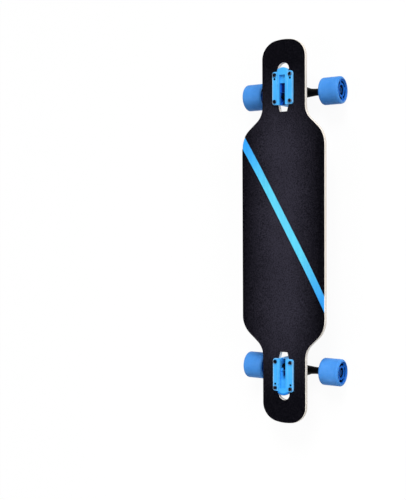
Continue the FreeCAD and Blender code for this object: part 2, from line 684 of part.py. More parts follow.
def make_axle(name, end):
    tip = NUT_START + s.axle_nut_height + s.axle_tail
    bevel = s.axle_chamfer
    loop = [(ZERO, -tip), (AXLE_RADIUS - bevel, -tip), (AXLE_RADIUS, bevel - tip),
            (AXLE_RADIUS, tip - bevel), (AXLE_RADIUS - bevel, tip), (ZERO, tip)]
    node(in_truck(turned(name + "_axle_rod", "XY_Plane", "Y_Axis", loop), end), name + "_axle")

    fit = s.axle_diameter + s.axle_fit_clearance * 2
    thin = s.speed_ring_thickness
    ring_starts = (RING_START, NUT_START - thin, -BEARING_START, -NUT_START)
    rings = [sleeve(name + "_speed_ring", start, thin, fit, s.speed_ring_diameter) for start in ring_starts]
    node(in_truck(group(name + "_rings", rings), end), name + "_speed_rings")

    nuts = []
    for start in (NUT_START, -NUT_START - s.axle_nut_height):
        hexagon = prism(name + "_axle_nut_hex", s.axle_nut_width, start, s.axle_nut_height, "Y")
        hole = cylinder(name + "_axle_nut_hole", s.axle_diameter, start - s.overrun, s.overrun * 2, "Y")
        nuts.append(cut(name + "_axle_nut", hexagon, hole))
    node(in_truck(group(name + "_axle_nut_pair", nuts), end), name + "_axle_nuts")

    spacer_start = BEARING_START + s.bearing_width
    spacers = [sleeve(name + "_spacer", start, s.bearing_gap, fit, s.spacer_diameter)
               for start in (spacer_start, -spacer_start - s.bearing_gap)]
    node(in_truck(group(name + "_spacer_pair", spacers), end), name + "_bearing_spacers")

    races = []
    for hand in (1, -1):
        for middle in bearing_middles():
            races.append(race(name + "_inner_ring", WHEEL_Y * hand + middle, fit, s.inner_land))
    node(in_truck(group(name + "_races", races), end), name + "_bearing_inner_rings")


# Ball bearings

BALL_RUN = s.ball_circle / 2
GROOVE = s.ball_diameter / 2 + s.ball_clearance


def bearing_middles():
    """The middles of a wheel's two bearings, from the middle of the wheel."""
    return tuple((s.bearing_gap + s.bearing_width) / 2 * side for side in (1, -1))


def race(name, middle, bore, diameter):
    """A bearing ring with the groove that the balls run in."""
    ring = sleeve(name, middle - s.bearing_width / 2, s.bearing_width, bore, diameter)
    groove = doc.addObject("Part::Torus", name + "_groove")
    bind(groove, Radius1=BALL_RUN, Radius2=GROOVE)
    place(groove, ZERO, middle, ZERO, pitch=RIGHT_ANGLE / 2, roll=-RIGHT_ANGLE)
    return cut(name + "_grooved", ring, groove)


def ball_places():
    return [(sine(as_measure(360 * index / BALL_COUNT)), cosine(as_measure(360 * index / BALL_COUNT)))
            for index in range(BALL_COUNT)]


def sphere(name, diameter, middle, spot):
    thing = doc.addObject("Part::Sphere", name)
    bind(thing, Radius=diameter / 2)
    return place(thing, BALL_RUN * spot[0], middle, BALL_RUN * spot[1])


def make_bearings(name, wheel):
    rings, shields, balls, cages = [], [], [], []
    for side, middle in zip((1, -1), bearing_middles()):
        rings.append(race(name + "_outer_ring", middle, s.outer_land, s.bearing_diameter))
        balls += [sphere(name + "_ball", s.ball_diameter, middle, spot) for spot in ball_places()]
        pockets = fuse(name + "_pockets", [sphere(name + "_pocket", GROOVE * 2, middle, spot)
                                           for spot in ball_places()])
        band_start = middle + s.cage_offset * side if side > 0 else middle - s.cage_offset - s.cage_width
        band = sleeve(name + "_band", band_start, s.cage_width, s.ball_circle - s.cage_wall,
                      s.ball_circle + s.cage_wall)
        cages.append(cut(name + "_cage", band, pockets))
        for face in (1, -1):
            away = s.bearing_width / 2 - s.shield_inset
            start = middle + away - s.shield_thickness if face > 0 else middle - away
            shields.append(sleeve(name + "_shield", start, s.shield_thickness,
                                  s.inner_land + s.shield_clearance * 2, s.outer_land))
    for label, pieces in (("_bearing_outer_rings", rings), ("_bearing_shields", shields),
                          ("_bearing_balls", balls), ("_bearing_cages", cages)):
        node(wheel(group(name + label + "_group", pieces)), name + label)


# Wheels: a urethane tyre cast round a slotted core

CORE_HALF = s.wheel_width / 2 - s.recess_depth


def make_tyre(name, wheel):
    bore, radius, half = s.core_diameter / 2, s.wheel_diameter / 2, s.wheel_width / 2
    lip, edge = s.lip_diameter / 2, s.wheel_lip_radius
    loop = [(bore, -CORE_HALF), (lip, -half), (radius - edge, -half), (radius, edge - half, edge, 1),
            (radius, half - edge), (radius - edge, half, edge, 1), (lip, half), (bore, CORE_HALF)]
    node(wheel(turned(name + "_tyre_body", "XY_Plane", "Y_Axis", loop)), name + "_tyre")


def make_core(name, wheel, core_turn):
    stack, web = STACK / 2, s.bearing_gap / 2
    shoulder, seat, mouth = s.core_shoulder_diameter / 2, s.bearing_diameter / 2, s.hub_mouth_diameter / 2
    rim = s.core_diameter / 2
    loop = [(shoulder, -web), (seat, -web), (seat, -stack), (mouth, -CORE_HALF), (rim, -CORE_HALF),
            (rim, CORE_HALF), (mouth, CORE_HALF), (seat, stack), (seat, web), (shoulder, web)]
    blank = turned(name + "_core_blank", "XY_Plane", "Y_Axis", loop)
    slot_out = rim - s.core_rim_wall
    channels = []
    for start in (s.core_web_width / 2, -s.core_web_width / 2 - s.wheel_width):
        channels.append(sleeve(name + "_slot_ring", start, s.wheel_width, s.hub_diameter, slot_out * 2))
    spokes = []
    for index in range(SPOKE_COUNT):
        spoke = doc.addObject("Part::Box", name + "_spoke")
        bind(spoke, Length=rim, Width=s.wheel_width * 4, Height=s.spoke_width)
        turn = core_turn + 360 * index / SPOKE_COUNT + 180 / SPOKE_COUNT
        half_spoke = s.spoke_width / 2
        place(spoke, half_spoke * -sine(turn), -s.wheel_width * 2, half_spoke * -cosine(turn), pitch=turn)
        spokes.append(spoke)
    slots = cut(name + "_slots", fuse(name + "_slot_rings", channels), fuse(name + "_spokes", spokes))
    kidneys = rounded(name + "_kidneys", slots, s.slot_corner_radius, along_axle)
    node(wheel(cut(name + "_core_cut", blank, kidneys)), name + "_core")


def along_axle(edge):
    """Whether an edge runs straight along the axle."""
    box = edge.BoundBox
    return box.XLength < 1e-6 and box.ZLength < 1e-6


def make_wheel(name, end, hand):
    def wheel(thing):
        return place(thing, AXLE_X * end, WHEEL_Y * hand, AXLE_Z)

    make_tyre(name, wheel)
    make_core(name, wheel, s.front_core_turn if end > 0 else ZERO)
    make_bearings(name, wheel)


def make_truck(name, end):
    make_baseplate(name, end)
    make_pivot_cup(name, end)
    make_hanger(name, end)
    make_kingpin(name, end)
    make_bushings(name, end)
    make_mounting(name, end)
    make_axle(name, end)


def write_parts():
    doc.recompute()
    failed = [item.Name for item in doc.Objects if {"Invalid", "Error"} & set(item.State)]
    for label, thing in nodes.items():
        if thing.Shape.isNull() or not thing.Shape.isValid() or not thing.Shape.Solids:
            failed.append(label)
    if failed:
        raise RuntimeError("objects that failed: " + ", ".join(failed))
    os.makedirs("parts", exist_ok=True)
    for label, thing in nodes.items():
        thing.Shape.exportStep(os.path.join("parts", label + ".step"))


make_deck()
make_grip_tape()
for end_name, end_sign in (("front", 1), ("rear", -1)):
    make_truck(end_name, end_sign)
    for hand_name, hand_sign in (("left", 1), ("right", -1)):
        make_wheel(end_name + "_" + hand_name, end_sign, hand_sign)
write_parts()
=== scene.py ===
import math

import bmesh
import bpy
from mathutils import Matrix, Vector


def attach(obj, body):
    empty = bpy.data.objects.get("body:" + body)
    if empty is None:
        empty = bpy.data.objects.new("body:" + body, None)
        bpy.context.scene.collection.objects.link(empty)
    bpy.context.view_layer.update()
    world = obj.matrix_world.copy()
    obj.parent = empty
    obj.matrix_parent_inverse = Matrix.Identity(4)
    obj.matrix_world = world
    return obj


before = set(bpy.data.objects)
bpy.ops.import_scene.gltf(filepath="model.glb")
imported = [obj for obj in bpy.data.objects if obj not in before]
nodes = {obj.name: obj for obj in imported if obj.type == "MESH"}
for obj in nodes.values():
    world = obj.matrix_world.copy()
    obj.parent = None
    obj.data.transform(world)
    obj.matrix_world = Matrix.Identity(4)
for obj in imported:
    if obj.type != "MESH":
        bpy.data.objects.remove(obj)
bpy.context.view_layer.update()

ENDS = (("front", 1), ("rear", -1))
HANDS = (("left", 1), ("right", -1))

# Places in the part's frame, in metres
AXLE_X, AXLE_Z, AXLE_RADIUS, WHEEL_Y = 0.336, 0.0325, 0.004, 0.1032
DECK_TOP, DECK_THICKNESS, PLIES = 0.08765, 0.011, 7
FLAT_HALF, CONCAVE_RADIUS = 0.040, 0.370
STRIPE_ANGLE, STRIPE_OFFSET, STRIPE_WIDTH = math.radians(29.25), -0.0135, 0.0195
STRIPE_MIDDLE, STRIPE_UNDER_TAPE = 0.022, 0.003
BAND_ANGLE = math.radians(38)
BOLT_X, BOLT_Y, BOLT_RADIUS, HEAD_TOP = (0.31225, 0.37575), 0.02065, 0.0024, 0.0971
FLANGE_X, SPARE_X, STRIP_HALF, LOBE_X = 0.344, 0.36623, 0.014, 0.371
CHANNEL_END, CHANNEL_HALF = 0.3566, 0.0084
MOUNTING_NUT_END = DECK_TOP - DECK_THICKNESS - 0.0055
AXLE_NUT_START, AXLE_NUT_END = 0.1164, 0.1229
# the middle of the bushing ring, and the kingpin that runs through it, outboard and down
RING_X, RING_Z, TIP = 0.34545, 0.06243, math.radians(40)
KINGPIN_NUT_START, KINGPIN_NUT_END, KINGPIN_RADIUS = 0.018, 0.026, 0.0047
# outer radius and height of the nuts' nylon collars
MOUNTING_COLLAR, KINGPIN_COLLAR, AXLE_COLLAR = (0.0034, 0.0008), (0.0062, 0.0012), (0.0056, 0.0008)
COLLAR_EASE, COLLAR_STEPS = 0.35, 36

# The part of a noise's range that a colour and a roughness wander over
WANDER, SWING = (0.3, 0.72), (0.3, 0.7)


def grey(level):
    return (level, level, level, 1)


BLACK, WHITE = grey(0), grey(1)
ZINC_SHEEN = (0.22, 0.5, 1.0, 1)


def linear(red, green, blue):
    """A colour given as it shows on screen, 0 to 255, as shader values."""
    def one(level):
        level /= 255
        return level / 12.92 if level <= 0.04045 else ((level + 0.055) / 1.055) ** 2.4
    return (one(red), one(green), one(blue), 1)


class Shader:
    """A procedural material and short ways to add nodes to it."""

    def __init__(self, name, **values):
        self.material = bpy.data.materials.new(name)
        self.material.use_nodes = True
        self.tree = self.material.node_tree
        self.bsdf = self.tree.nodes["Principled BSDF"]
        place = self.add("ShaderNodeTexCoord")
        self.object = place.outputs["Object"]
        self.normal = place.outputs["Normal"]
        for socket, value in values.items():
            self.bsdf.inputs[socket.replace("_", " ")].default_value = value

    def add(self, kind, **settings):
        node = self.tree.nodes.new(kind)
        for name, value in settings.items():
            setattr(node, name, value)
        return node

    def feed(self, socket, source):
        if isinstance(source, bpy.types.NodeSocket):
            self.tree.links.new(source, socket)
        else:
            socket.default_value = source

    # Sums and masks

    def maths(self, operation, first, second=0.0):
        node = self.add("ShaderNodeMath", operation=operation)
        for socket, source in zip(node.inputs, (first, second)):
            self.feed(socket, source)
        return node.outputs[0]

    def size(self, value):
        return self.maths("ABSOLUTE", value)

    def plus(self, first, second):
        return self.maths("ADD", first, second)

    def minus(self, first, second):
        return self.maths("SUBTRACT", first, second)

    def times(self, *factors):
        product = factors[0]
        for factor in factors[1:]:
            product = self.maths("MULTIPLY", product, factor)
        return product

    def most(self, first, second):
        return self.maths("MAXIMUM", first, second)

    def above(self, value, limit):
        return self.maths("GREATER_THAN", value, limit)

    def below(self, value, limit):
        return self.maths("LESS_THAN", value, limit)

    def reach(self, first, second):
        """The length of a vector with these two parts."""
        squares = self.plus(self.times(first, first), self.times(second, second))
        return self.maths("SQRT", squares)

    def along(self, first, second, angle):
        """The distance along a direction at this angle to the first axis."""
        return self.plus(self.times(first, math.cos(angle)), self.times(second, math.sin(angle)))

    def span(self, value, low, high, start=0.0, end=1.0):
        """A number that goes from start to end while the value goes from low to high."""
        node = self.add("ShaderNodeMapRange")
        for socket, source in zip(node.inputs, (value, low, high, start, end)):
            self.feed(socket, source)
        return node.outputs[0]

    def pick(self, mask, off, on):
        """One number where the mask is 0 and the other where it is 1."""
        return self.span(mask, 0, 1, off, on)

    # Textures

    def split(self, vector):
        node = self.add("ShaderNodeSeparateXYZ")
        self.feed(node.inputs[0], vector)
        return node.outputs

    def stretch(self, scale):
        node = self.add("ShaderNodeMapping")
        self.feed(node.inputs["Vector"], self.object)
        node.inputs["Scale"].default_value = scale
        return node.outputs[0]

    def noise(self, scale, detail, rough, vector=None):
        node = self.add("ShaderNodeTexNoise")
        self.feed(node.inputs["Vector"], vector or self.object)
        node.inputs["Scale"].default_value = scale
        node.inputs["Detail"].default_value = detail
        node.inputs["Roughness"].default_value = rough
        return node.outputs["Fac"]

    def cells(self, scale):
        node = self.add("ShaderNodeTexVoronoi")
        self.feed(node.inputs["Vector"], self.object)
        node.inputs["Scale"].default_value = scale
        return node.outputs["Distance"]

    # Colours

    def ramp(self, factor, low, high, start, end):
        """A colour that goes from one to another over a range of the factor."""
        node = self.add("ShaderNodeValToRGB")
        self.feed(node.inputs[0], factor)
        first, last = node.color_ramp.elements
        first.position, first.color = low, start
        last.position, last.color = high, end
        return node.outputs[0]

    def mix(self, factor, first, second):
        node = self.add("ShaderNodeMix", data_type="RGBA")
        self.feed(node.inputs["Factor"], factor)
        colours = [socket for socket in node.inputs if socket.type == "RGBA"]
        self.feed(colours[0], first)
        self.feed(colours[1], second)
        return [socket for socket in node.outputs if socket.type == "RGBA"][0]

    # What the surface gets

    def colour(self, source):
        self.feed(self.bsdf.inputs["Base Color"], source)

    def roughness(self, source):
        self.feed(self.bsdf.inputs["Roughness"], source)

    def bump(self, height, depth, strength):
        node = self.add("ShaderNodeBump")
        self.feed(node.inputs["Height"], height)
        node.inputs["Distance"].default_value = depth
        node.inputs["Strength"].default_value = strength
        self.feed(self.bsdf.inputs["Normal"], node.outputs[0])


def dress(material, *names):
    for name in names:
        for slot in nodes[name].material_slots:
            slot.material = material


def every(*kinds):
    """Names of the nodes of these kinds on both trucks."""
    return [f"{end}_{kind}" for end, _ in ENDS for kind in kinds]


def every_wheel(*kinds):
    return [f"{end}_{hand}_{kind}" for end, _ in ENDS for hand, _ in HANDS for kind in kinds]


# Deck and tape

def grip_tape():
    m = Shader("grip_tape_grit", Specular_IOR_Level=0.014)
    x, y, _ = m.split(m.object)
    # painted sheen: the tape is lighter on the standing area and darker towards the rails and the
    # ends
    middle_y, dull_side, sheen_side = 0.005, 0.102, 0.018
    dull_end, sheen_end, sheen_colour = 0.400, 0.200, linear(49, 47, 58)
    from_rails = m.span(m.size(m.minus(y, middle_y)), dull_side, sheen_side)
    from_ends = m.span(m.size(x), dull_end, sheen_end)
    patch = m.noise(scale=9, detail=3, rough=0.55)
    mottle = m.noise(scale=420, detail=2, rough=0.6)
    tape_sheen = m.times(from_rails, from_ends, m.span(patch, 0.25, 0.65, 0.65, 1.0))
    tape_sheen = m.times(tape_sheen, m.span(mottle, *SWING, 0.1, 1.85))
    black = m.ramp(mottle, 0.45, 0.66, linear(0, 0, 3), linear(23, 22, 28))
    base = m.mix(tape_sheen, black, sheen_colour)
    # single grains that catch the light
    grain = m.ramp(m.noise(scale=1300, detail=2, rough=0.6), 0.60, 0.76, BLACK, WHITE)
    grain_strength, glint = 0.22, linear(62, 59, 72)
    m.colour(m.mix(m.times(grain, grain_strength), base, glint))
    m.roughness(m.span(mottle, *SWING, 0.5, 0.66))
    m.bump(m.cells(scale=2200), depth=0.0003, strength=0.3)
    return m.material


def ply_wood(m, y, z, grain):
    """The colour of the plies on a cut edge, and the height inside each ply, 0 to 1."""
    # height inside the stack, with the curve of the rails taken out
    past_flat = m.most(m.minus(m.size(y), FLAT_HALF), 0.0)
    rise = m.maths("DIVIDE", m.times(past_flat, past_flat), 2 * CONCAVE_RADIUS)
    level = m.minus(m.minus(z, rise), DECK_TOP - DECK_THICKNESS)
    ply = m.maths("FRACT", m.times(level, PLIES / DECK_THICKNESS))
    pair = m.maths("FRACT", m.times(level, PLIES / 2 / DECK_THICKNESS))
    maple = m.ramp(grain, *WANDER, linear(235, 227, 215), linear(252, 249, 243))
    crossed = m.ramp(grain, *WANDER, linear(212, 198, 182), linear(238, 229, 217))
    wood = m.mix(m.above(pair, 0.5), maple, crossed)
    glue_share, glue_strength, glue_brown = 0.09, 0.4, linear(140, 118, 96)
    glue = m.times(m.below(ply, glue_share), glue_strength)
    return m.mix(glue, wood, glue_brown), ply


def stripe_paint(m, x, y):
    """The top of the deck: a painted stripe, with a painted highlight that makes it paler in the
    middle of its run than at the rails.
    """
    across = m.along(y, x, -STRIPE_ANGLE)
    run = m.along(x, y, STRIPE_ANGLE)
    fleck = m.noise(scale=45, detail=4, rough=0.6, vector=m.stretch((0.5, 2.2, 1)))
    # painted highlight: the stripe is paler in the middle of its run
    highlight_reach, deep_reach, under_tape = 0.095, 0.212, linear(28, 27, 33)
    to_rail = m.span(m.size(m.minus(run, STRIPE_MIDDLE)), highlight_reach, deep_reach)
    pale = m.ramp(fleck, *WANDER, linear(68, 193, 229), linear(84, 209, 241))
    deep = m.ramp(fleck, *WANDER, linear(40, 148, 232), linear(52, 164, 246))
    from_line = m.size(m.minus(across, STRIPE_OFFSET))
    painted = m.below(from_line, STRIPE_WIDTH / 2 + STRIPE_UNDER_TAPE)
    return m.mix(painted, under_tape, m.mix(to_rail, pale, deep))


def underside(m, x, y, stain):
    """Dark stain, crossed by plain bands towards the ends."""
    colour = m.ramp(stain, 0.3, 0.75, linear(12, 13, 24), linear(30, 28, 42))
    blue, white = linear(42, 138, 206), linear(226, 226, 232)
    run = m.along(x, y, BAND_ANGLE)
    # middle, width and colour of each band
    bands = ((0.205, 0.046, blue), (0.152, 0.016, white), (-0.225, 0.016, blue))
    for middle, width, tint in bands:
        on_band = m.below(m.size(m.minus(run, middle)), width / 2)
        colour = m.mix(on_band, colour, tint)
    return colour


def deck_finish():
    m = Shader("deck_ply", Specular_IOR_Level=0.16)
    x, y, z = m.split(m.object)
    facing_up = m.split(m.normal)[2]
    grain = m.noise(scale=60, detail=5, rough=0.6, vector=m.stretch((0.35, 1, 12)))
    stain = m.noise(scale=22, detail=5, rough=0.6, vector=m.stretch((0.18, 2.4, 1)))
    wood, ply = ply_wood(m, y, z, grain)
    steepest = 0.93
    upper, lower = m.above(facing_up, steepest), m.below(facing_up, -steepest)
    faced = m.mix(upper, wood, stripe_paint(m, x, y))
    m.colour(m.mix(lower, faced, underside(m, x, y, stain)))
    raw = m.span(grain, *SWING, 0.42, 0.62)
    lacquered = m.span(stain, *SWING, 0.24, 0.34)
    m.roughness(m.pick(m.most(upper, lower), raw, lacquered))
    grain_height, ply_height = 0.5, 0.25
    height = m.plus(m.times(grain, grain_height), m.times(ply, ply_height))
    m.bump(height, depth=0.0002, strength=0.35)
    return m.material


# Trucks

def powder_coat(name, dark, light, rough, gloss):
    m = Shader(name, Specular_IOR_Level=gloss)
    cloud = m.noise(scale=38, detail=4, rough=0.6)
    m.roughness(m.span(cloud, *SWING, *rough))
    m.bump(m.noise(scale=900, detail=3, rough=0.55), depth=0.00025, strength=0.35)
    return m, m.ramp(cloud, *WANDER, dark, light)


def baseplate_coat():
    m, coat = powder_coat("baseplate_blue", linear(60, 164, 236), linear(76, 180, 249),
                          rough=(0.36, 0.5), gloss=0.05)
    x, y, z = m.split(m.object)
    normal_x, normal_y, normal_z = m.split(m.normal)
    out, across = m.size(x), m.size(y)
    rear, left = m.below(x, 0.0), m.above(y, 0.0)

    # painted highlight along the rounded edges of the flange, wider on the left, and along its
    # raised strip
    end_edge, right_edge, left_edge = (0.0380, 0.0392), (0.0254, 0.0266), (0.0238, 0.0252)
    strip_edge, strip_strength, edge_height = (0.0011, 0.0003), 0.5, (0.0885, 0.0915)
    on_end = m.span(m.size(m.minus(out, FLANGE_X)), *end_edge)
    on_end = m.times(on_end, m.above(across, STRIP_HALF))
    on_side = m.span(across, *[m.pick(left, *sides) for sides in zip(right_edge, left_edge)])
    on_strip = m.span(m.size(m.minus(across, STRIP_HALF)), *strip_edge, 0.0, strip_strength)
    edge_highlight = m.most(m.most(on_side, on_end), on_strip)
    patchy = m.span(m.noise(scale=90, detail=3, rough=0.6), 0.25, 0.6, 0.25, 0.8)
    edge_highlight = m.times(edge_highlight, m.span(z, *edge_height), patchy)
    coat = m.mix(edge_highlight, coat, linear(150, 206, 250))

    # painted shade: a deeper blue round the end of the rear lobe
    lobe_edge, lobe_end = (0.0152, 0.0178), LOBE_X + 0.012
    lobe_shade = m.span(m.reach(m.minus(out, LOBE_X), y), *lobe_edge)
    lobe_shade = m.times(lobe_shade, m.above(out, lobe_end), rear)
    coat = m.mix(lobe_shade, coat, linear(30, 124, 212))

    # painted shade down in the kingpin's channel: dark at once at the front, and at the rear over a
    # longer way inboard, longest by the right wall
    right_wall, fade, rear_fade, wall_fade = (-0.0030, -0.0080), 0.001, 0.011, 0.040
    more_fade = m.times(rear, m.span(y, *right_wall, rear_fade, wall_fade))
    inboard = m.span(out, CHANNEL_END, m.minus(CHANNEL_END - fade, more_fade))
    upright, level, channel_height = (0.4, 0.8), (0.05, 0.25), (0.0925, 0.0872)
    in_channel = m.below(across, CHANNEL_HALF)
    wall = m.span(m.size(normal_y), *upright)
    inner = m.times(in_channel, m.most(wall, m.span(normal_z, *level)))
    deep = m.times(m.span(z, *channel_height), inboard, inner)
    # painted light: its walls and its left side are lighter, most of all at the rear
    front_side, rear_side = (0.0035, 0.0082), (0.0008, 0.0065)
    lit_side = m.span(y, *[m.pick(rear, *sides) for sides in zip(front_side, rear_side)])
    lit_blue = m.mix(rear, linear(24, 112, 226), linear(62, 172, 255))
    coat = m.mix(deep, coat, m.mix(m.most(wall, lit_side), linear(2, 20, 80), lit_blue))

    # painted shade: the end of the front pocket is darker
    end_facing, pocket_height = (0.6, 0.9), (0.0940, 0.0932)
    end_wall = m.times(m.span(m.size(normal_x), *end_facing), in_channel)
    pocket = m.times(end_wall, m.above(x, CHANNEL_END), m.span(z, *pocket_height))
    coat = m.mix(pocket, coat, linear(4, 76, 160))

    # painted shade: dark in the spare bolt holes
    hole_radius, hole_height = (0.0032, 0.0028), (0.0946, 0.0938)
    to_hole = m.reach(m.minus(out, SPARE_X), m.minus(across, BOLT_Y))
    hole_shade = m.times(m.span(to_hole, *hole_radius), m.span(z, *hole_height))
    m.colour(m.mix(hole_shade, coat, linear(4, 16, 44)))
    return m.material


def hanger_coat():
    m, black = powder_coat("hanger_black", linear(4, 4, 5), linear(9, 8, 10),
                           rough=(0.42, 0.56), gloss=0.06)
    m.colour(black)
    return m.material


# Metal and rubber

def metal(name, dark, light, rough=(0.22, 0.38), sheen=WHITE):
    m = Shader(name, Metallic=1.0, Specular_Tint=sheen)
    brushed = m.noise(scale=420, detail=3, rough=0.6, vector=m.stretch((1, 0.08, 1)))
    m.colour(m.ramp(brushed, *SWING, dark, light))
    m.roughness(m.span(brushed, *SWING, *rough))
    m.bump(brushed, depth=0.00008, strength=0.3)
    return m.material


def threaded(name, dark, light, along, start, pitch, painted_glint=None, sheen=WHITE):
    """Steel with a screw thread past a point of its own axis, with bright painted glints where a
    mask is given.
    """
    m = Shader(name, Metallic=1.0, Specular_Tint=sheen)
    place = along(m)
    brushed = m.noise(scale=420, detail=3, rough=0.6)
    # painted glint: a bright steel colour where the mask is given
    coat, brighter = m.ramp(brushed, *SWING, dark, light), linear(140, 162, 188)
    m.colour(m.mix(painted_glint(m), coat, brighter) if painted_glint else coat)
    m.roughness(m.span(brushed, *SWING, 0.26, 0.42))
    ridge = m.maths("SINE", m.times(place, 2 * math.pi / pitch))
    m.bump(m.times(ridge, m.above(place, start)), depth=0.0003, strength=0.8)
    return m.material


def out_along_axle(m):
    return m.size(m.split(m.object)[1])


def along_kingpin(m):
    x, _, z = m.split(m.object)
    return m.along(m.minus(m.size(x), RING_X), m.minus(RING_Z, z), TIP)


def down_bolt(m):
    return m.minus(DECK_TOP, m.split(m.object)[2])


def bolt_rim(m):
    """Painted highlights on the rims of the bolt heads, in places and on the side nearest to the
    rail.
    """
    x, y, z = m.split(m.object)
    along = m.maths("MINIMUM", *[m.size(m.minus(m.size(x), place)) for place in BOLT_X])
    beside = m.minus(m.size(y), BOLT_Y)
    rim_radius, rim_height = (0.0032, 0.0043), (HEAD_TOP - 0.0014, HEAD_TOP - 0.0004)
    rim = m.times(m.span(m.reach(along, beside), *rim_radius), m.span(z, *rim_height))
    rail_side, places_strength, rail_strength = (0.0012, 0.0040), 0.75, 0.7
    patch = m.noise(scale=170, detail=1, rough=0.5)
    in_places = m.span(patch, 0.5, 0.6, 0.0, places_strength)
    by_the_rail = m.span(beside, *rail_side, 0.0, rail_strength)
    return m.times(rim, m.most(in_places, by_the_rail))


def rubbery(name, dark, light, gloss=0.35):
    m = Shader(name, Specular_IOR_Level=gloss)
    cloud = m.noise(scale=80, detail=3, rough=0.6)
    m.colour(m.ramp(cloud, *SWING, dark, light))
    m.roughness(m.span(cloud, *SWING, 0.5, 0.68))
    m.bump(m.noise(scale=1200, detail=2, rough=0.5), depth=0.0001, strength=0.3)
    return m.material


# Wheels

def from_axle(m):
    """Distance from the axle, the same for all four wheels."""
    x, _, z = m.split(m.object)
    return m.reach(m.minus(m.size(x), AXLE_X), m.minus(z, AXLE_Z))


def from_middle(m):
    """Distance along the axle from the middle of the wheel."""
    return m.size(m.minus(m.size(m.split(m.object)[1]), WHEEL_Y))


def urethane():
    m = Shader("wheel_urethane", Specular_IOR_Level=0.12, Subsurface_Weight=0.1,
               Subsurface_Scale=0.003, Subsurface_Radius=(0.3, 0.6, 1.0))
    away = from_axle(m)
    cloud = m.noise(scale=26, detail=4, rough=0.6)
    base = m.ramp(cloud, *WANDER, linear(58, 130, 208), linear(74, 146, 226))
    # fine lathe lines round the tread, paler and smoother where it runs
    lathe = m.noise(scale=900, detail=2, rough=0.5, vector=m.stretch((0.001, 1, 0.001)))
    tread_radius, wear_strength, worn_blue = (0.0312, 0.0324), 0.12, linear(102, 166, 234)
    tread = m.span(away, *tread_radius)
    brighter = m.times(tread, m.span(lathe, 0.35, 0.65))
    base = m.mix(m.times(brighter, wear_strength), base, worn_blue)
    # painted shade: the wall of the recess is a deeper blue than the tread
    wall_radius, recess_shade_strength, recess_shade_blue = 0.0268, 0.6, linear(20, 82, 172)
    wall = m.times(m.below(away, wall_radius), recess_shade_strength)
    m.colour(m.mix(wall, base, recess_shade_blue))
    m.roughness(m.pick(brighter, 0.52, 0.44))
    m.bump(m.times(lathe, tread), depth=0.00015, strength=0.4)
    return m.material


def core():
    m = Shader("wheel_core", Specular_IOR_Level=0.05)
    away = from_axle(m)
    cloud = m.noise(scale=60, detail=3, rough=0.6)
    base = m.ramp(cloud, *WANDER, linear(13, 92, 190), linear(22, 108, 212))
    # painted shade: the slots and the bearing's bore fall off into a dark blue
    slot_start, slot_end, bore = 0.0169, 0.0229, 0.0126
    in_slot = m.times(m.above(away, slot_start), m.below(away, slot_end))
    inside = m.most(in_slot, m.below(away, bore))
    fall, slot_shade_blue = (0.0222, 0.0196), linear(2, 11, 44)
    m.colour(m.mix(m.times(inside, m.span(from_middle(m), *fall)), base, slot_shade_blue))
    m.roughness(m.span(cloud, *SWING, 0.64, 0.78))
    m.bump(m.noise(scale=700, detail=2, rough=0.5), depth=0.00012, strength=0.3)
    return m.material


def dress_all():
    dress(deck_finish(), "deck")
    dress(grip_tape(), "grip_tape_front", "grip_tape_rear")
    dress(baseplate_coat(), *every("baseplate"))
    dress(hanger_coat(), *every("hanger"))

    dark, light = linear(12, 13, 17), linear(30, 32, 38)
    oxide = metal("black_oxide", dark, light, rough=(0.3, 0.45))
    dress(oxide, *every("kingpin_nut", "mounting_nuts"))
    zinc = metal("blue_zinc", linear(46, 80, 132), linear(76, 118, 178),
                 rough=(0.3, 0.45), sheen=ZINC_SHEEN)
    dress(zinc, *every("axle_nuts"))
    kingpin = threaded("kingpin_steel", dark, light, along_kingpin, KINGPIN_NUT_START, pitch=0.0013)
    dress(kingpin, *every("kingpin"))
    bolt = threaded("bolt_steel", linear(3, 7, 16), linear(13, 20, 34), down_bolt, DECK_THICKNESS,
                    pitch=0.0008, painted_glint=bolt_rim)
    dress(bolt, *every("mounting_bolts"))
    axle = threaded("axle_steel", linear(28, 50, 88), linear(50, 82, 128), out_along_axle,
                    AXLE_NUT_START, pitch=0.00125, sheen=ZINC_SHEEN)
    dress(axle, *every("axle"))

    plain = metal("plain_steel", linear(118, 120, 126), linear(160, 162, 168))
    dress(plain, *every("bushing_washers", "speed_rings", "bearing_spacers"))
    bright = metal("bearing_steel", linear(186, 188, 192), linear(224, 226, 230), rough=(0.1, 0.2))
    dress(bright, *every("bearing_inner_rings"))
    dress(bright, *every_wheel("bearing_outer_rings", "bearing_balls"))
    shield = metal("dark_shield", linear(40, 42, 48), linear(72, 74, 80), rough=(0.3, 0.42))
    dress(shield, *every_wheel("bearing_shields"))
    brass = metal("cage_brass", linear(150, 118, 58), linear(200, 166, 96))
    dress(brass, *every_wheel("bearing_cages"))

    bushing = rubbery("bushing_urethane", linear(16, 16, 19), linear(30, 30, 35))
    dress(bushing, *every("boardside_bushing", "roadside_bushing", "pivot_cup"))
    dress(urethane(), *every_wheel("tyre"))
    dress(core(), *every_wheel("core"))


# Nylon collars of the lock nuts

